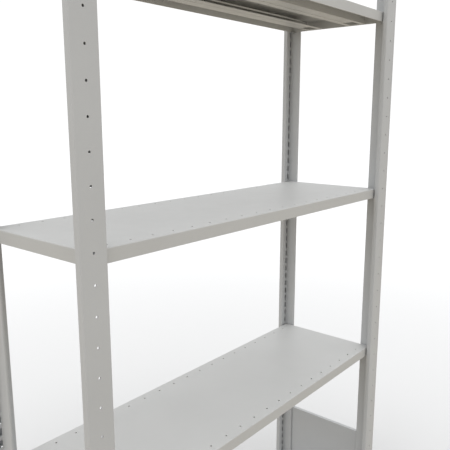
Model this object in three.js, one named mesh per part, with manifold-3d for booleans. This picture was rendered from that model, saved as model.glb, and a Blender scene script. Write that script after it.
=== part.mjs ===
// Boltless steel shelving bay: four folded T posts, five clip-in shelves, two base side panels.
// Millimetres, +Z up, +X along the shelves, the open front faces -Y, the origin is on the floor
// at the centre of the footprint.
import * as THREE from "three";
import { mergeVertices } from "three/addons/utils/BufferGeometryUtils.js";
import Module from "manifold-3d";

const wasm = await Module();
wasm.setup();

// ---- driving dimensions ----
const PITCH_X = 1002;        // post centre to post centre along the bay
const DEPTH = 329;           // front face of the front posts to back face of the rear posts
const HEIGHT = 2000;         // floor to post tops
const GAP = 0.3;             // clearance between pieces that only touch

const POST = { w: 51, box: 13.5, t: 1.5, web: 6, deep: 44.2, chamfer: 1.2 };
const FACE_HOLE = { d: 4.5, pitch: 50, first: 25, sides: 5 };
const SLOT = { from: 3.5, wide: 7.5, tall: 16.5, pitch: 25, first: 39.25, count: 78 };
const FOOT = { t: 3, deep: 50 };

const SHELF = { len: 995.4, deep: 296, tall: 25, sheet: 1.2, rim: 2.4, first: 74, pitch: 475, count: 5 };
const SHELF_HOLE = { d: 5, pitch: 50, inset: 18.6, count: 19 };
const RAIL = { inset: 55.5, flange: 52.5, t: 1.4, open: 2.6, tab: 30, foot: 12, end: 6 };
const RAIL_SLIT = { from: 30.5, wide: 1.8, bridge: 8, count: 2 };
const RAIL_WINDOW = { x: 46, y: 30, fromEnd: 6, mid: 25 };

const CLIP = {
  t: 1.5, wide: 12, up: 21, ledge: 16, tongue: 5, tongueUp: 8.25, tongueTall: 14, hook: 4, play: 0.5,
};
const PANEL = {
  t: 1.5, tall: 250, base: 4, fold: 10, offset: 3.3, tabTall: 12, tab: 4.5, tabLap: 3, step: 0.5,
  tabZ: [39.25, 214.25],
};

// ---- materials ----
function paint(name, color, metalness, roughness) {
  const m = new THREE.MeshStandardMaterial({ color, metalness, roughness });
  m.name = name;
  return m;
}
const POST_PAINT = paint("post_paint", 0xb9bab6, 0.0, 0.5);
const SHELF_PAINT = paint("shelf_paint", 0xc4c5c2, 0.0, 0.5);
const ZINC = paint("zinc_plate", 0x9ea2a4, 0.8, 0.4);
const FOOT_STEEL = paint("foot_steel", 0xa9aaa7, 0.3, 0.5);

// ---- solids ----
function toManifold(geometry) {
  const g = geometry.clone();
  g.deleteAttribute("normal");
  g.deleteAttribute("uv");
  const m = mergeVertices(g, 1e-4);
  return new wasm.Manifold(new wasm.Mesh({
    numProp: 3,
    vertProperties: new Float32Array(m.attributes.position.array),
    triVerts: new Uint32Array(m.index.array),
  }));
}

function toGeometry(solid) {
  const mesh = solid.getMesh();
  const g = new THREE.BufferGeometry();
  g.setAttribute("position", new THREE.BufferAttribute(new Float32Array(mesh.vertProperties), 3));
  g.setIndex(new THREE.BufferAttribute(new Uint32Array(mesh.triVerts), 1));
  g.computeVertexNormals();
  return g;
}

function box(x0, x1, y0, y1, z0, z1) {
  const g = new THREE.BoxGeometry(x1 - x0, y1 - y0, z1 - z0);
  g.translate((x0 + x1) / 2, (y0 + y1) / 2, (z0 + z1) / 2);
  return g;
}

// an outline in X and Y, drawn anticlockwise, raised from z0 to z1
function prism(outline, z0, z1) {
  const shape = new THREE.Shape(outline.map(([x, y]) => new THREE.Vector2(x, y)));
  const g = new THREE.ExtrudeGeometry(shape, { depth: z1 - z0, bevelEnabled: false });
  g.translate(0, 0, z0);
  return g;
}

function cut(base, tools) {
  return toManifold(base).subtract(wasm.Manifold.union(tools.map(toManifold)));
}

function join(pieces) {
  return wasm.Manifold.union(pieces.map(toManifold));
}

const group = new THREE.Group();
group.name = "gondola_shelving_unit";

function add(name, geometry, material) {
  const mesh = new THREE.Mesh(geometry, material);
  mesh.name = name;
  group.add(mesh);
  return mesh;
}

// The four posts. side is -1 at the left and +1 at the right, face is -1 at the front, +1 at the rear.
const CORNERS = [
  { tag: "front_left", side: -1, face: -1 },
  { tag: "front_right", side: 1, face: -1 },
  { tag: "rear_left", side: -1, face: 1 },
  { tag: "rear_right", side: 1, face: 1 },
];

// Geometry drawn for the front left corner, whose post centre is at x 0 and whose face is at y 0,
// turned or mirrored into one of the four corners.
function place(geometry, corner) {
  const g = geometry.index ? geometry.toNonIndexed() : geometry.clone();
  const flipX = corner.side < 0 ? 1 : -1;
  const flipY = corner.face < 0 ? 1 : -1;
  g.applyMatrix4(new THREE.Matrix4().makeScale(flipX, flipY, 1));
  g.translate(corner.side * PITCH_X / 2, corner.face * DEPTH / 2, 0);
  if (flipX * flipY < 0) {
    const p = g.attributes.position;
    for (let i = 0; i < p.count; i += 3) {
      const [x, y, z] = [p.getX(i), p.getY(i), p.getZ(i)];
      p.setXYZ(i, p.getX(i + 1), p.getY(i + 1), p.getZ(i + 1));
      p.setXYZ(i + 1, x, y, z);
    }
  }
  g.computeVertexNormals();
  return g;
}

// ---- post: one folded sheet, a slotted box behind the face and a hollow web that stands in the bay ----
function postGeometry() {
  const a = POST.w / 2;
  const c = POST.chamfer;
  const h = POST.web / 2;
  const t = POST.t;
  const outside = [
    [-a + c, 0], [a - c, 0], [a, c], [a, POST.box - c], [a - c, POST.box], [h, POST.box],
    [h, POST.deep], [-h, POST.deep], [-h, POST.box], [-a + c, POST.box], [-a, POST.box - c], [-a, c],
  ];
  const inside = [
    [-a + t, t], [a - t, t], [a - t, POST.box - t], [h - t, POST.box - t],
    [h - t, POST.deep - t], [-h + t, POST.deep - t], [-h + t, POST.box - t], [-a + t, POST.box - t],
  ];
  const body = prism(outside, FOOT.t + GAP, HEIGHT);
  const tools = [prism(inside, 0, HEIGHT + 1)];
  for (let i = 0; i < SLOT.count; i++) {
    const z = SLOT.first + i * SLOT.pitch;
    for (const x of [-SLOT.from - SLOT.wide, SLOT.from]) {
      tools.push(box(
        x, x + SLOT.wide, POST.box - 2 * t, POST.box + 1, z - SLOT.tall / 2, z + SLOT.tall / 2,
      ));
    }
  }
  for (let z = FACE_HOLE.first; z < HEIGHT; z += FACE_HOLE.pitch) {
    const hole = new THREE.CylinderGeometry(FACE_HOLE.d / 2, FACE_HOLE.d / 2, 4 * t, FACE_HOLE.sides);
    hole.translate(0, 0, z);
    tools.push(hole);
  }
  return toGeometry(cut(body, tools));
}

// ---- foot plate ----
function footGeometry() {
  const a = POST.w / 2;
  const c = 4;
  const outline = [
    [-a + c, 0], [a - c, 0], [a, c], [a, FOOT.deep - c], [a - c, FOOT.deep],
    [-a + c, FOOT.deep], [-a, FOOT.deep - c], [-a, c],
  ];
  return prism(outline, 0, FOOT.t);
}

// ---- shelf clip: a plate between post and shelf, a tongue hooked in a slot, a ledge under the corner ----
function clipGeometry(shelfBottom) {
  const x0 = POST.web / 2 + GAP;
  const x1 = x0 + CLIP.wide;
  const y0 = POST.box + GAP;
  const y1 = y0 + CLIP.t;
  const z1 = shelfBottom - GAP;
  const z0 = z1 - CLIP.t;
  const [tx0, tx1] = [SLOT.from + CLIP.play, SLOT.from + SLOT.wide - CLIP.play];
  const ty0 = y0 - CLIP.tongue;
  const tz = shelfBottom + CLIP.tongueUp;
  return toGeometry(join([
    box(x0, x1, y0, y1, z0, shelfBottom + CLIP.up),
    box(x0, x1, y0, y0 + CLIP.ledge, z0, z1),
    box(tx0, tx1, ty0, y0 + CLIP.t / 2, tz, tz + CLIP.tongueTall),
    box(tx0, tx1, ty0, ty0 + CLIP.t, tz - CLIP.hook, tz + CLIP.t),
  ]));
}

const post = postGeometry();
const foot = footGeometry();
for (const corner of CORNERS) {
  add(`post_${corner.tag}`, place(post, corner), POST_PAINT);
  add(`foot_plate_${corner.tag}`, place(foot, corner), FOOT_STEEL);
}

// ---- shelf deck: a sheet with all four edges turned down ----
function deckGeometry(top) {
  const x = SHELF.len / 2;
  const y = SHELF.deep / 2;
  const outer = box(-x, x, -y, y, top - SHELF.tall, top);
  const inner = box(
    -x + SHELF.rim, x - SHELF.rim, -y + SHELF.rim, y - SHELF.rim,
    top - SHELF.tall - 5, top - SHELF.sheet,
  );
  const tools = [inner];
  for (const row of [-1, 1]) {
    for (let i = 0; i < SHELF_HOLE.count; i++) {
      const hole = new THREE.CylinderGeometry(SHELF_HOLE.d / 2, SHELF_HOLE.d / 2, 6, 6);
      hole.rotateX(Math.PI / 2);
      const cx = (i - (SHELF_HOLE.count - 1) / 2) * SHELF_HOLE.pitch;
      hole.translate(cx, row * (y - SHELF_HOLE.inset), top);
      tools.push(hole);
    }
  }
  return toGeometry(cut(outer, tools));
}

// ---- stiffening rail under a shelf: a web, a slit bottom flange turned to the middle, welded tabs,
// drawn for the front of the shelf, mirrored for the rear
function railGeometry(top, side) {
  const x = SHELF.len / 2 - SHELF.rim - RAIL.end;
  const z0 = top - SHELF.tall;
  const z1 = top - SHELF.sheet - GAP;
  const y0 = -SHELF.deep / 2 + RAIL.inset;
  const pieces = [
    box(-x, x, y0, y0 + RAIL.t, z0, z1 - RAIL.open),
    box(-x, x, y0, y0 + RAIL.flange, z0, z0 + RAIL.t),
  ];
  for (const cx of [-x + RAIL.tab / 2, 0, x - RAIL.tab / 2]) {
    const [x0, x1] = [cx - RAIL.tab / 2, cx + RAIL.tab / 2];
    pieces.push(box(x0, x1, y0, y0 + RAIL.t, z0 + RAIL.t / 2, z1));
    pieces.push(box(x0, x1, y0 - RAIL.foot, y0 + RAIL.t, z1 - RAIL.t, z1));
  }
  const y1 = y0 + RAIL_SLIT.from;
  const run = 2 * (x - RAIL_WINDOW.fromEnd - RAIL_WINDOW.x) / RAIL_SLIT.count;
  const cuts = [];
  for (let i = 0; i < RAIL_SLIT.count; i++) {
    const cx = (i - (RAIL_SLIT.count - 1) / 2) * run;
    const half = (run - RAIL_SLIT.bridge) / 2;
    cuts.push(box(cx - half, cx + half, y1, y1 + RAIL_SLIT.wide, z0 - 1, z0 + RAIL.t + 1));
  }
  for (const e of [-1, 1]) {
    const wx = e * (x - RAIL_WINDOW.fromEnd - RAIL_WINDOW.x / 2);
    const wy = y0 + RAIL_WINDOW.mid;
    cuts.push(box(
      wx - RAIL_WINDOW.x / 2, wx + RAIL_WINDOW.x / 2,
      wy - RAIL_WINDOW.y / 2, wy + RAIL_WINDOW.y / 2, z0 - 1, z0 + RAIL.t + 1,
    ));
  }
  const solid = join(pieces).subtract(wasm.Manifold.union(cuts.map(toManifold)));
  const placed = side < 0 ? solid : solid.mirror([0, 1, 0]);
  return toGeometry(placed);
}

for (let i = 0; i < SHELF.count; i++) {
  const n = i + 1;
  const top = SHELF.first + i * SHELF.pitch;
  add(`shelf_${n}_deck`, deckGeometry(top), SHELF_PAINT);
  add(`shelf_${n}_front_rail`, railGeometry(top, -1), SHELF_PAINT);
  add(`shelf_${n}_rear_rail`, railGeometry(top, 1), SHELF_PAINT);
  const clip = clipGeometry(top - SHELF.tall);
  for (const corner of CORNERS) {
    add(`clip_${n}_${corner.tag}`, place(clip, corner), ZINC);
  }
}

// ---- base side panels: a sheet beside the webs, its long edges folded out, stepped tabs in the slots ----
function panelGeometry(side) {
  const x0 = PITCH_X / 2 + PANEL.offset;
  const x1 = x0 + PANEL.t;
  const y = DEPTH / 2 - POST.box - GAP;
  const z0 = PANEL.base;
  const z1 = z0 + PANEL.tall;
  const pieces = [
    box(x0, x1, -y, y, z0, z1),
    box(x0, x0 + PANEL.fold, -y, y, z0, z0 + PANEL.t),
    box(x0, x0 + PANEL.fold, -y, y, z1 - PANEL.t, z1),
  ];
  for (const z of PANEL.tabZ) {
    const half = PANEL.tabTall / 2;
    const [tx0, tx1] = [x0 + PANEL.step, x1 + PANEL.step];
    pieces.push(box(tx0, tx1, y - PANEL.tabLap, y + PANEL.tab, z - half, z + half));
    pieces.push(box(tx0, tx1, -y - PANEL.tab, -y + PANEL.tabLap, z - half, z + half));
  }
  const solid = join(pieces);
  return toGeometry(side > 0 ? solid : solid.mirror([1, 0, 0]));
}
add("side_panel_left", panelGeometry(-1), POST_PAINT);
add("side_panel_right", panelGeometry(1), POST_PAINT);

export default group;
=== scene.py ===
# Looks of the boltless shelving bay: folded sheet metal in light grey powder coat on a pale floor.
# Metres, in the CAD's frame: +X along the shelves, -Y out of the front, +Z up, the floor at z 0.
import math

import bmesh
import bpy
from mathutils import Matrix, Vector


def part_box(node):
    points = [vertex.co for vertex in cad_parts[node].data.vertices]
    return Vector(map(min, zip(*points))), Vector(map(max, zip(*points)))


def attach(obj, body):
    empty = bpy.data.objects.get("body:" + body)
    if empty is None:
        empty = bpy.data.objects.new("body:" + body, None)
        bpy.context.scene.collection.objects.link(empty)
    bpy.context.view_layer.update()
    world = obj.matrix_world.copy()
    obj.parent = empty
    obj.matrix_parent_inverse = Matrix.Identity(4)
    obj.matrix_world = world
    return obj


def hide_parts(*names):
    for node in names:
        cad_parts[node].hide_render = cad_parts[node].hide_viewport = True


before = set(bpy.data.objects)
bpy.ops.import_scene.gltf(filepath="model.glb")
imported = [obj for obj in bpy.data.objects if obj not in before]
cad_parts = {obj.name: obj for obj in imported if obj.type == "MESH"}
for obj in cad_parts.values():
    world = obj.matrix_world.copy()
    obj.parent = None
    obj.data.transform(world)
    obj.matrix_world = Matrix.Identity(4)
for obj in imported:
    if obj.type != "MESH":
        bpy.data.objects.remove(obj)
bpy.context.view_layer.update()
MM = 0.001

# ---- places read from the frame ----
CORNERS = [
    ("front_left", -1, -1),
    ("front_right", 1, -1),
    ("rear_left", -1, 1),
    ("rear_right", 1, 1),
]
SHELVES = [1, 2, 3, 4, 5]
POST_LO, POST_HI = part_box("post_front_left")
POST_X = (POST_LO.x + POST_HI.x) / 2
FRONT_Y = POST_LO.y
POST_W = POST_HI.x - POST_LO.x
POST_DEEP = POST_HI.y - POST_LO.y

# ---- sheet metal sizes, as in the CAD, and the bends and edges that the CAD leaves square ----
SHEET = 1.5 * MM
BOX_DEEP = 13.5 * MM
WEB = 6 * MM
SLOT_FROM, SLOT_WIDE, SLOT_TALL, SLOT_PITCH = 3.5 * MM, 7.5 * MM, 16.5 * MM, 25 * MM
SLOT_FIRST, SLOT_COUNT = 39.25 * MM, 78
HOLE_D, HOLE_PITCH, HOLE_FIRST, HOLE_COUNT = 4.5 * MM, 50 * MM, 25 * MM, 40
DECK_SHEET, DECK_RIM, DECK_BEND = 1.2 * MM, 2.4 * MM, 2.0 * MM
DECK_HOLE_D, DECK_HOLE_PITCH, DECK_HOLE_INSET, DECK_HOLES = 5 * MM, 50 * MM, 18.6 * MM, 19
DECK_COLLAR, DECK_COLLAR_WALL = 4.5 * MM, 0.8 * MM
DECK_INNER_BEND, DECK_JOINT, DECK_JOINT_TOP = 0.8 * MM, 0.5 * MM, 3.2 * MM
RAIL_SHEET, RAIL_OPEN, RAIL_TAB, RAIL_FOOT = 1.4 * MM, 2.6 * MM, 30 * MM, 12 * MM
SLIT_FROM, SLIT_WIDE, SLIT_BRIDGE = 30.5 * MM, 1.8 * MM, 8 * MM
WINDOW_X, WINDOW_Y, WINDOW_END, WINDOW_MID = 46 * MM, 30 * MM, 6 * MM, 25 * MM
CLIP_TONGUE, CLIP_TONGUE_UP, CLIP_TONGUE_TALL = 5 * MM, 10.05 * MM, 14 * MM
CLIP_HOOK, CLIP_PLAY = 4 * MM, 0.5 * MM
PANEL_TAB, PANEL_TAB_TALL, PANEL_TAB_Z = 4.5 * MM, 12 * MM, (39.25 * MM, 214.25 * MM)
PANEL_TAB_LAP, PANEL_TAB_STEP = 3 * MM, 0.5 * MM
FOOT_CORNER = 4 * MM
BEND, TIP = 2.2 * MM, 0.3 * MM
POST_BEND, POST_FILLET, POST_NOSE = 2.6 * MM, 0.6 * MM, 2.2 * MM
SLOT_CORNER, WINDOW_CORNER, SLIT_CORNER = 1.0 * MM, 4 * MM, 0.5 * MM
RAIL_BEND = 1.6 * MM
PAST = 10 * MM  # how far a cutting tool reaches past the piece it cuts
SINK = 0.1 * MM  # how far a welded tab's faces lie inside the sheet that it joins


# turn a prism whose outline was drawn in Y and Z, or X and Z, so that its height runs along the third
YZ_TO_XY = Matrix(((0, 0, 1, 0), (1, 0, 0, 0), (0, 1, 0, 0), (0, 0, 0, 1)))
XZ_TO_XY = Matrix(((1, 0, 0, 0), (0, 0, 1, 0), (0, 1, 0, 0), (0, 0, 0, 1)))


# ---- mesh helpers ----
def arc_corner(before, at, after, radius, steps=4):
    """Points of a rounded outline corner."""
    a = (Vector(before) - Vector(at)).normalized()
    b = (Vector(after) - Vector(at)).normalized()
    half = a.angle(b) / 2
    run = radius / math.tan(half)
    centre = Vector(at) + (a + b).normalized() * (radius / math.sin(half))
    start = Vector(at) + a * run - centre
    end = Vector(at) + b * run - centre
    sweep = start.angle_signed(end)
    return [centre + Matrix.Rotation(-sweep * i / steps, 2) @ start for i in range(steps + 1)]


def rounded(points):
    """An outline from (x, y, radius) corners, each rounded by its own radius."""
    out = []
    n = len(points)
    for i, (x, y, r) in enumerate(points):
        if r <= 0:
            out.append(Vector((x, y)))
            continue
        out += arc_corner(points[i - 1][:2], (x, y), points[(i + 1) % n][:2], r)
    return out


def prism(name, outline, z0, z1):
    """A closed solid: the outline in X and Y raised from z0 to z1."""
    bm = bmesh.new()
    low = [bm.verts.new((p[0], p[1], z0)) for p in outline]
    high = [bm.verts.new((p[0], p[1], z1)) for p in outline]
    bm.faces.new(list(reversed(low)))
    bm.faces.new(high)
    for i in range(len(outline)):
        j = (i + 1) % len(outline)
        bm.faces.new((low[i], low[j], high[j], high[i]))
    bmesh.ops.recalc_face_normals(bm, faces=bm.faces)
    return finish_mesh(name, bm)


def finish_mesh(name, bm):
    mesh = bpy.data.meshes.new(name)
    bm.to_mesh(mesh)
    bm.free()
    obj = bpy.data.objects.new(name, mesh)
    bpy.context.scene.collection.objects.link(obj)
    return obj


def block(name, lo, hi, bend=0.0, steps=3, which=lambda edge: True):
    """A box from corner lo to corner hi, with the edges that which() picks rounded by bend."""
    bm = bmesh.new()
    bmesh.ops.create_cube(bm, size=1.0)
    size = Vector(hi) - Vector(lo)
    centre = (Vector(hi) + Vector(lo)) / 2
    for v in bm.verts:
        v.co = Vector((v.co.x * size.x, v.co.y * size.y, v.co.z * size.z)) + centre
    if bend > 0:
        edges = [e for e in bm.edges if which(e)]
        bmesh.ops.bevel(bm, geom=edges, offset=bend, segments=steps, profile=0.5, affect="EDGES")
    return finish_mesh(name, bm)


def rod(name, radius, axis, centre, length, sides=16):
    bm = bmesh.new()
    bmesh.ops.create_cone(
        bm, cap_ends=True, segments=sides, radius1=radius, radius2=radius, depth=length
    )
    turn = {"x": Matrix.Rotation(math.pi / 2, 4, "Y"), "y": Matrix.Rotation(math.pi / 2, 4, "X")}
    bmesh.ops.transform(bm, matrix=turn.get(axis, Matrix.Identity(4)), verts=bm.verts)
    bmesh.ops.translate(bm, vec=centre, verts=bm.verts)
    return finish_mesh(name, bm)


def merge(name, objs):
    """One object holding all these solids, which are removed."""
    bm = bmesh.new()
    for o in objs:
        bm.from_mesh(o.data)
        bpy.data.objects.remove(o)
    return finish_mesh(name, bm)


def boolean(target, tool, operation="DIFFERENCE"):
    mod = target.modifiers.new("cut", "BOOLEAN")
    mod.operation = operation
    mod.solver = "EXACT"
    mod.use_self = False
    mod.object = tool
    apply_modifiers(target)
    bpy.data.objects.remove(tool)
    return target


def apply_modifiers(obj):
    bpy.context.view_layer.update()
    dg = bpy.context.evaluated_depsgraph_get()
    mesh = bpy.data.meshes.new_from_object(obj.evaluated_get(dg))
    obj.modifiers.clear()
    obj.data = mesh


def smooth(obj, angle=32):
    """Bends shade as round and flats stay flat."""
    obj.data.polygons.foreach_set("use_smooth", [True] * len(obj.data.polygons))
    obj.data.set_sharp_from_angle(angle=math.radians(angle))
    mod = obj.modifiers.new("flat_faces", "WEIGHTED_NORMAL")
    mod.weight = 90
    mod.keep_sharp = True
    apply_modifiers(obj)
    return obj


def copy_of(obj, name, matrix):
    """A copy of obj with matrix worked into its mesh, turned right side out where matrix mirrors."""
    mesh = obj.data.copy()
    mesh.transform(matrix)
    if matrix.determinant() < 0:
        mesh.flip_normals()
    new = bpy.data.objects.new(name, mesh)
    bpy.context.scene.collection.objects.link(new)
    return new


def dress(obj, material, body, slot_name, *nodes):
    obj.data.materials.clear()
    obj.data.materials.append(material)
    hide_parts(*nodes)
    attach(obj, body)
    return obj


# ---- materials ----
def powder_coat(name, colour, roughness=0.42):
    """Satin powder coat: a fine orange peel, faint mottling and a little handling haze."""
    m = bpy.data.materials.new(name)
    m.use_nodes = True
    nt = m.node_tree
    bsdf = nt.nodes["Principled BSDF"]
    bsdf.inputs["IOR"].default_value = 1.5
    coord = nt.nodes.new("ShaderNodeTexCoord")

    broad = nt.nodes.new("ShaderNodeTexNoise")
    broad.inputs["Scale"].default_value = 7.0
    broad.inputs["Detail"].default_value = 4.0
    nt.links.new(coord.outputs["Object"], broad.inputs["Vector"])
    tone = nt.nodes.new("ShaderNodeValToRGB")
    tone.color_ramp.elements[0].position = 0.3
    tone.color_ramp.elements[0].color = (*[c * 0.975 for c in colour], 1)
    tone.color_ramp.elements[1].position = 0.7
    tone.color_ramp.elements[1].color = (*[min(1, c * 1.02) for c in colour], 1)
    nt.links.new(broad.outputs["Fac"], tone.inputs["Fac"])
    nt.links.new(tone.outputs["Color"], bsdf.inputs["Base Color"])

    haze = nt.nodes.new("ShaderNodeTexNoise")
    haze.inputs["Scale"].default_value = 38.0
    haze.inputs["Detail"].default_value = 3.0
    nt.links.new(coord.outputs["Object"], haze.inputs["Vector"])
    rough = nt.nodes.new("ShaderNodeMapRange")
    rough.inputs["To Min"].default_value = roughness - 0.05
    rough.inputs["To Max"].default_value = roughness + 0.07
    nt.links.new(haze.outputs["Fac"], rough.inputs["Value"])
    nt.links.new(rough.outputs["Result"], bsdf.inputs["Roughness"])

    peel = nt.nodes.new("ShaderNodeTexNoise")
    peel.inputs["Scale"].default_value = 900.0
    peel.inputs["Detail"].default_value = 2.0
    nt.links.new(coord.outputs["Object"], peel.inputs["Vector"])
    bump = nt.nodes.new("ShaderNodeBump")
    bump.inputs["Strength"].default_value = 0.05
    bump.inputs["Distance"].default_value = 0.0002
    nt.links.new(peel.outputs["Fac"], bump.inputs["Height"])
    nt.links.new(bump.outputs["Normal"], bsdf.inputs["Normal"])
    return m


def zinc(name):
    """Bright zinc plate: a pale metal with a soft mottled spangle."""
    m = bpy.data.materials.new(name)
    m.use_nodes = True
    nt = m.node_tree
    bsdf = nt.nodes["Principled BSDF"]
    bsdf.inputs["Metallic"].default_value = 0.9
    coord = nt.nodes.new("ShaderNodeTexCoord")
    spangle = nt.nodes.new("ShaderNodeTexVoronoi")
    spangle.inputs["Scale"].default_value = 260.0
    nt.links.new(coord.outputs["Object"], spangle.inputs["Vector"])
    tone = nt.nodes.new("ShaderNodeValToRGB")
    tone.color_ramp.elements[0].color = (0.47, 0.48, 0.49, 1)
    tone.color_ramp.elements[1].color = (0.60, 0.61, 0.62, 1)
    nt.links.new(spangle.outputs["Distance"], tone.inputs["Fac"])
    nt.links.new(tone.outputs["Color"], bsdf.inputs["Base Color"])
    rough = nt.nodes.new("ShaderNodeMapRange")
    rough.inputs["To Min"].default_value = 0.32
    rough.inputs["To Max"].default_value = 0.5
    nt.links.new(spangle.outputs["Distance"], rough.inputs["Value"])
    nt.links.new(rough.outputs["Result"], bsdf.inputs["Roughness"])
    return m


POST_PAINT = powder_coat("post_powder_coat", (0.495, 0.503, 0.508))
SHELF_PAINT = powder_coat("shelf_powder_coat", (0.50, 0.502, 0.495))
FOOT_PAINT = powder_coat("foot_powder_coat", (0.46, 0.462, 0.455), roughness=0.5)
ZINC = zinc("zinc_plate")


# ---- posts ----
def post_outline(inset):
    """A T of folded sheet: a shallow box behind the face, and a web. inset 0 is its outside."""
    a = POST_W / 2 - inset
    h = WEB / 2 - inset
    back = BOX_DEEP - inset
    end = POST_DEEP - inset
    bend = max(POST_BEND - inset, 0.4 * MM)
    fillet = POST_FILLET + inset
    nose = min(POST_NOSE, h * 0.8)
    return rounded([
        (-a, inset, bend), (a, inset, bend), (a, back, bend), (h, back, fillet),
        (h, end, nose), (-h, end, nose), (-h, back, fillet), (-a, back, bend),
    ])


def build_post():
    """The front left post, drawn with its face at y 0 and its centre at x 0."""
    body = prism("post", post_outline(0), POST_LO.z, POST_HI.z)
    boolean(body, prism("hollow", post_outline(SHEET), POST_LO.z - PAST, POST_HI.z + PAST))
    r = SLOT_CORNER
    x0, x1 = SLOT_FROM, SLOT_FROM + SLOT_WIDE
    tall = SLOT_TALL / 2
    slot = prism(
        "slot",
        rounded([(x0, -tall, r), (x1, -tall, r), (x1, tall, r), (x0, tall, r)]),
        BOX_DEEP - 2 * SHEET, BOX_DEEP + SHEET,
    )
    slot.data.transform(XZ_TO_XY)
    slot.data.flip_normals()
    slots = [
        copy_of(
            slot, "slot_copy",
            Matrix.Translation((0, 0, SLOT_FIRST + i * SLOT_PITCH)) @ Matrix.Diagonal((side, 1, 1, 1)),
        )
        for i in range(SLOT_COUNT)
        for side in (-1, 1)
    ]
    bpy.data.objects.remove(slot)
    holes = [
        rod("hole", HOLE_D / 2, "y", (0, 0, HOLE_FIRST + i * HOLE_PITCH), 3 * SHEET)
        for i in range(HOLE_COUNT)
    ]
    boolean(body, merge("punches", slots + holes))
    return smooth(body)


def corner_matrix(side, face):
    """From the front left corner's own drawing to one of the four corners."""
    flip = Matrix.Diagonal((-side, -face, 1, 1))
    return Matrix.Translation((side * abs(POST_X), face * abs(FRONT_Y), 0)) @ flip


def posts():
    master = build_post()
    for tag, side, face in CORNERS:
        piece = copy_of(master, f"post_{tag}_folded", corner_matrix(side, face))
        dress(piece, POST_PAINT, "frame", "post_paint", f"post_{tag}")
    bpy.data.objects.remove(master)


# ---- shelves ----
def upper_or_upright(lo_z):
    """Picks a tray's bent edges: the four round its top and the four upright ones."""
    return lambda e: max(v.co.z for v in e.verts) > lo_z + 1e-6


def build_deck(lo, hi):
    lo, hi = Vector(lo), Vector(hi)
    deck = block("deck", lo, hi, DECK_BEND, 4, upper_or_upright(lo.z))
    inner_lo = lo + Vector((DECK_RIM, DECK_RIM, -PAST))
    inner_hi = hi - Vector((DECK_RIM, DECK_RIM, DECK_SHEET))
    inner = block("inner", inner_lo, inner_hi, DECK_INNER_BEND, 3, upper_or_upright(inner_lo.z))
    boolean(deck, inner)
    # each hole is drawn down into a short collar
    tools, collars = [], []
    mid_y = (hi.y - lo.y) / 2 - DECK_HOLE_INSET
    collar = DECK_COLLAR - DECK_SHEET / 2
    for row in (-1, 1):
        for i in range(DECK_HOLES):
            x, y = (i - (DECK_HOLES - 1) / 2) * DECK_HOLE_PITCH, row * mid_y
            tools.append(rod("hole", DECK_HOLE_D / 2, "z", (x, y, hi.z), 3 * DECK_COLLAR))
            z = hi.z - DECK_SHEET / 2 - collar / 2
            collars.append(rod("collar", DECK_HOLE_D / 2 + DECK_COLLAR_WALL, "z", (x, y, z), collar))
    boolean(deck, merge("collars", collars), "UNION")
    # the corners are folded, not welded shut: a narrow joint shows down each one
    joint, deep = DECK_JOINT, DECK_RIM + 1 * MM
    for sx in (-1, 1):
        for sy in (-1, 1):
            x, y = sx * (hi.x - DECK_BEND - 0.4 * MM), sy * hi.y
            tools.append(block(
                "joint",
                (x - joint / 2, min(y, y - sy * deep), lo.z - PAST),
                (x + joint / 2, max(y, y - sy * deep) + MM * (sy > 0), hi.z - DECK_JOINT_TOP),
            ))
    boolean(deck, merge("punches", tools))
    return smooth(deck)


def build_rail(lo, hi):
    """The front rail under a shelf, in place: web, slit bottom flange, windows, welded tabs."""
    lo, hi = Vector(lo), Vector(hi)
    web_y = lo.y + RAIL_FOOT
    t, bend, tip = RAIL_SHEET, RAIL_BEND, TIP
    section = rounded([
        (web_y, hi.z - RAIL_OPEN, tip), (web_y, lo.z, bend), (hi.y, lo.z, tip),
        (hi.y, lo.z + t, tip), (web_y + t, lo.z + t, tip), (web_y + t, hi.z - RAIL_OPEN, tip),
    ])
    rail = prism("rail", section, lo.x, hi.x)
    rail.data.transform(YZ_TO_XY)
    run = hi.x - WINDOW_END - WINDOW_X
    openings = []
    for e in (-1, 1):
        x0, y0 = e * run, web_y + WINDOW_MID - WINDOW_Y / 2
        openings.append((x0, x0 + e * WINDOW_X, y0, y0 + WINDOW_Y, WINDOW_CORNER))
        x0, y0 = e * SLIT_BRIDGE / 2, web_y + SLIT_FROM
        openings.append((x0, e * (run - SLIT_BRIDGE / 2), y0, y0 + SLIT_WIDE, SLIT_CORNER))
    cuts = []
    for xa, xb, y0, y1, r in openings:
        x0, x1 = min(xa, xb), max(xa, xb)
        outline = rounded([(x0, y0, r), (x1, y0, r), (x1, y1, r), (x0, y1, r)])
        cuts.append(prism("opening", outline, lo.z - PAST / 2, lo.z + PAST / 2))
    boolean(rail, merge("openings", cuts))
    tabs = []
    for cx in (lo.x + RAIL_TAB / 2, 0.0, hi.x - RAIL_TAB / 2):
        tab = rounded([
            (lo.y, hi.z - t, tip), (web_y + SINK, hi.z - t, tip),
            (web_y + SINK, lo.z + 2 * MM, 0), (web_y + t - SINK, lo.z + 2 * MM, 0),
            (web_y + t - SINK, hi.z, bend), (lo.y, hi.z, tip),
        ])
        piece = prism("tab", tab, cx - RAIL_TAB / 2, cx + RAIL_TAB / 2)
        piece.data.transform(YZ_TO_XY)
        tabs.append(piece)
    boolean(rail, merge("tabs", tabs), "UNION")
    return smooth(rail)


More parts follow.
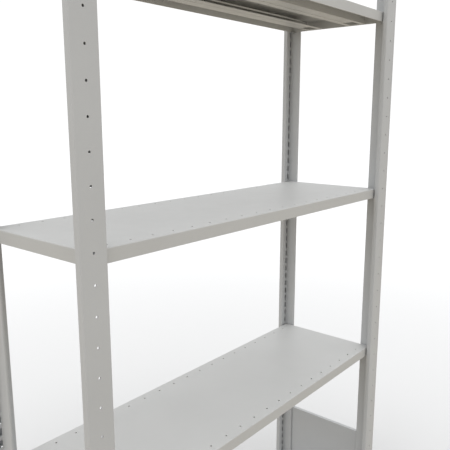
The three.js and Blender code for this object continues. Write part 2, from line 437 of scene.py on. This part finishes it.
def shelves():
    base_lo, base_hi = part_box("shelf_1_deck")
    deck = build_deck(base_lo, base_hi)
    rail = build_rail(*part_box("shelf_1_front_rail"))
    for n in SHELVES:
        lift = Matrix.Translation((0, 0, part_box(f"shelf_{n}_deck")[0].z - base_lo.z))
        body = f"shelf_{n}"
        piece = copy_of(deck, f"shelf_{n}_deck_folded", lift)
        dress(piece, SHELF_PAINT, body, "shelf_paint", f"shelf_{n}_deck")
        piece = copy_of(rail, f"shelf_{n}_front_rail_folded", lift)
        dress(piece, SHELF_PAINT, body, "shelf_paint", f"shelf_{n}_front_rail")
        piece = copy_of(rail, f"shelf_{n}_rear_rail_folded", lift @ Matrix.Diagonal((1, -1, 1, 1)))
        dress(piece, SHELF_PAINT, body, "shelf_paint", f"shelf_{n}_rear_rail")
    bpy.data.objects.remove(deck)
    bpy.data.objects.remove(rail)


# ---- clips, foot plates and base panels ----
def build_clip():
    """The lowest front left clip in its corner's drawing: plate, ledge, and a tongue with a hook."""
    lo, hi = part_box("clip_1_front_left")
    x0, x1 = lo.x - POST_X, hi.x - POST_X
    y_hook, y_ledge = lo.y - FRONT_Y, hi.y - FRONT_Y
    y0 = y_hook + CLIP_TONGUE
    t, bend, tip = SHEET, BEND, TIP
    section = rounded([
        (y0, lo.z, bend), (y_ledge, lo.z, tip), (y_ledge, lo.z + t, tip),
        (y0 + t, lo.z + t, bend - t), (y0 + t, hi.z, tip), (y0, hi.z, tip),
    ])
    clip = prism("clip", section, x0, x1)
    clip.data.transform(YZ_TO_XY)
    z0 = lo.z + CLIP_TONGUE_UP
    z1 = z0 + CLIP_TONGUE_TALL
    section = rounded([
        (y_hook, z0 - CLIP_HOOK, tip), (y_hook + t, z0 - CLIP_HOOK, tip), (y_hook + t, z0, tip),
        (y0 + t / 2, z0, 0), (y0 + t / 2, z1, 0), (y_hook, z1, SLOT_CORNER),
    ])
    tongue = prism("tongue", section, SLOT_FROM + CLIP_PLAY, SLOT_FROM + SLOT_WIDE - CLIP_PLAY)
    tongue.data.transform(YZ_TO_XY)
    return smooth(boolean(clip, tongue, "UNION"))


def clips():
    master = build_clip()
    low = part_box("clip_1_front_left")[0].z
    for n in SHELVES:
        for tag, side, face in CORNERS:
            node = f"clip_{n}_{tag}"
            lift = Matrix.Translation((0, 0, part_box(node)[0].z - low))
            piece = copy_of(master, f"{node}_bent", lift @ corner_matrix(side, face))
            dress(piece, ZINC, "frame", "zinc_plate", node)
    bpy.data.objects.remove(master)


def foot_plates():
    lo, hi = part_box("foot_plate_front_left")
    x0, x1 = lo.x - POST_X, hi.x - POST_X
    y0, y1 = lo.y - FRONT_Y, hi.y - FRONT_Y
    r = FOOT_CORNER
    outline = rounded([(x0, y0, r), (x1, y0, r), (x1, y1, r), (x0, y1, r)])
    master = smooth(prism("foot", outline, lo.z, hi.z))
    for tag, side, face in CORNERS:
        piece = copy_of(master, f"foot_plate_{tag}_cut", corner_matrix(side, face))
        dress(piece, FOOT_PAINT, "frame", "foot_steel", f"foot_plate_{tag}")
    bpy.data.objects.remove(master)


def build_panel(lo, hi):
    """The right base panel: a sheet whose top and bottom edges turn out, with tabs into the slots."""
    t, bend, tip = SHEET, BEND, TIP
    x0, x1 = lo.x, lo.x + t
    section = rounded([
        (x0, lo.z, bend), (hi.x, lo.z, tip), (hi.x, lo.z + t, tip), (x1, lo.z + t, bend - t),
        (x1, hi.z - t, bend - t), (hi.x, hi.z - t, tip), (hi.x, hi.z, tip), (x0, hi.z, bend),
    ])
    panel = prism("panel", section, lo.y + PANEL_TAB, hi.y - PANEL_TAB)
    panel.data.transform(XZ_TO_XY)
    panel.data.flip_normals()
    half, run = PANEL_TAB_TALL / 2, PANEL_TAB + PANEL_TAB_LAP
    tabs = [
        block("tab", (x0 + PANEL_TAB_STEP, y, z - half), (x1 + PANEL_TAB_STEP, y + run, z + half))
        for y in (lo.y, hi.y - run)
        for z in PANEL_TAB_Z
    ]
    return smooth(boolean(panel, merge("tabs", tabs), "UNION"))


def side_panels():
    master = build_panel(*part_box("side_panel_right"))
    for tag, side in (("left", -1), ("right", 1)):
        piece = copy_of(master, f"side_panel_{tag}_bent", Matrix.Diagonal((side, 1, 1, 1)))
        dress(piece, POST_PAINT, "frame", "post_paint", f"side_panel_{tag}")
    bpy.data.objects.remove(master)


posts()
shelves()
clips()
foot_plates()
side_panels()


# ---- studio ----
# albedo of the floor as lit surfaces see it, and as the camera sees it by distance from the middle:
# painted shadow, greyer near the bay, rising to white far off
FLOOR_BOUNCE = (0.44, 0.40, 0.335, 1)
FLOOR_PAINTED_SHADOW = (
    (0.0, 0.56), (0.16, 0.575), (0.25, 0.645), (0.36, 0.672), (0.55, 0.685), (0.8, 0.735), (1.0, 0.80),
)
# light from every side, and what each direction adds to it
SKY_COLOUR = (0.99, 0.995, 1.0, 1)
SKY_BASE = 0.45
SKY = {("Z", 1): 1.31, ("X", -1): 0.23, ("Y", -1): 0.11}
BACKDROP = 1.05
FLOOR_HALF, FLOOR_REACH = 60.0, 4.0
CAMERA_FROM_POST = (-0.5034, -0.6731)
CAMERA_OVER_SHELF = 0.2011
CAMERA_DOWN, CAMERA_TURN, CAMERA_LENS = 10.88, -50.21, 45.158


def is_camera_ray(nt):
    return nt.nodes.new("ShaderNodeLightPath").outputs["Is Camera Ray"]


def floor():
    """A white floor with painted shadow that makes it a little greyer near the bay, whose bounce on
    the bay is dim and warm.
    """
    bm = bmesh.new()
    for x, y in ((-1, -1), (1, -1), (1, 1), (-1, 1)):
        bm.verts.new((x * FLOOR_HALF, y * FLOOR_HALF, 0))
    bm.faces.new(bm.verts)
    obj = finish_mesh("studio_floor", bm)
    m = bpy.data.materials.new("studio_floor")
    m.use_nodes = True
    nt = m.node_tree
    nt.nodes.remove(nt.nodes["Principled BSDF"])
    seen = nt.nodes.new("ShaderNodeBsdfDiffuse")
    bounce = nt.nodes.new("ShaderNodeBsdfDiffuse")
    bounce.inputs["Color"].default_value = FLOOR_BOUNCE
    coord = nt.nodes.new("ShaderNodeTexCoord")
    far = nt.nodes.new("ShaderNodeVectorMath")
    far.operation = "LENGTH"
    nt.links.new(coord.outputs["Object"], far.inputs[0])
    # painted shadow: the colour the camera sees is greyer under the bay and whiter further off
    shadow_ramp = nt.nodes.new("ShaderNodeValToRGB")
    reach = nt.nodes.new("ShaderNodeMapRange")
    reach.inputs["From Max"].default_value = FLOOR_REACH
    nt.links.new(far.outputs["Value"], reach.inputs["Value"])
    nt.links.new(reach.outputs["Result"], shadow_ramp.inputs["Fac"])
    shadow_ramp.color_ramp.interpolation = "B_SPLINE"
    for i, (at, tone) in enumerate(FLOOR_PAINTED_SHADOW):
        e = shadow_ramp.color_ramp.elements[i] if i < 2 else shadow_ramp.color_ramp.elements.new(at)
        e.position = at
        e.color = (tone, tone, tone, 1)
    nt.links.new(shadow_ramp.outputs["Color"], seen.inputs["Color"])
    mix = nt.nodes.new("ShaderNodeMixShader")
    nt.links.new(is_camera_ray(nt), mix.inputs[0])
    nt.links.new(bounce.outputs[0], mix.inputs[1])
    nt.links.new(seen.outputs[0], mix.inputs[2])
    nt.links.new(mix.outputs[0], nt.nodes["Material Output"].inputs["Surface"])
    obj.data.materials.append(m)


def sky():
    """Soft light that is strongest overhead, before a white backdrop."""
    world = bpy.data.worlds.new("studio")
    bpy.context.scene.world = world
    world.use_nodes = True
    nt = world.node_tree
    light = nt.nodes["Background"]
    light.inputs["Color"].default_value = SKY_COLOUR
    coord = nt.nodes.new("ShaderNodeTexCoord")
    split = nt.nodes.new("ShaderNodeSeparateXYZ")
    nt.links.new(coord.outputs["Generated"], split.inputs["Vector"])
    total = None
    for (axis, sign), strength in SKY.items():
        lobe = nt.nodes.new("ShaderNodeMath")
        lobe.operation = "MULTIPLY"
        lobe.inputs[1].default_value = sign
        nt.links.new(split.outputs[axis], lobe.inputs[0])
        lobe.use_clamp = True
        scale = nt.nodes.new("ShaderNodeMath")
        scale.operation = "MULTIPLY_ADD"
        scale.inputs[1].default_value = strength
        nt.links.new(lobe.outputs[0], scale.inputs[0])
        if total is None:
            scale.inputs[2].default_value = SKY_BASE
        else:
            nt.links.new(total, scale.inputs[2])
        total = scale.outputs[0]
    nt.links.new(total, light.inputs["Strength"])
    backdrop = nt.nodes.new("ShaderNodeBackground")
    backdrop.inputs["Color"].default_value = (1, 1, 1, 1)
    backdrop.inputs["Strength"].default_value = BACKDROP
    mix = nt.nodes.new("ShaderNodeMixShader")
    nt.links.new(is_camera_ray(nt), mix.inputs[0])
    nt.links.new(light.outputs[0], mix.inputs[1])
    nt.links.new(backdrop.outputs[0], mix.inputs[2])
    nt.links.new(mix.outputs[0], nt.nodes["World Output"].inputs["Surface"])


def camera():
    """Beside the front left post, a little above the third shelf, looking along to the far right."""
    cam = bpy.data.cameras.new("camera")
    obj = bpy.data.objects.new("camera", cam)
    bpy.context.scene.collection.objects.link(obj)
    shelf_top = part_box("shelf_3_deck")[1].z
    dx, dy = CAMERA_FROM_POST
    obj.location = (POST_X + dx, FRONT_Y + dy, shelf_top + CAMERA_OVER_SHELF)
    obj.rotation_euler = (math.radians(90 - CAMERA_DOWN), 0, math.radians(CAMERA_TURN))
    cam.sensor_width = 36.0
    cam.lens = CAMERA_LENS
    cam.clip_start, cam.clip_end = 0.05, 200
    bpy.context.scene.camera = obj


floor()
sky()
camera()
bpy.context.scene.view_settings.view_transform = "Standard"
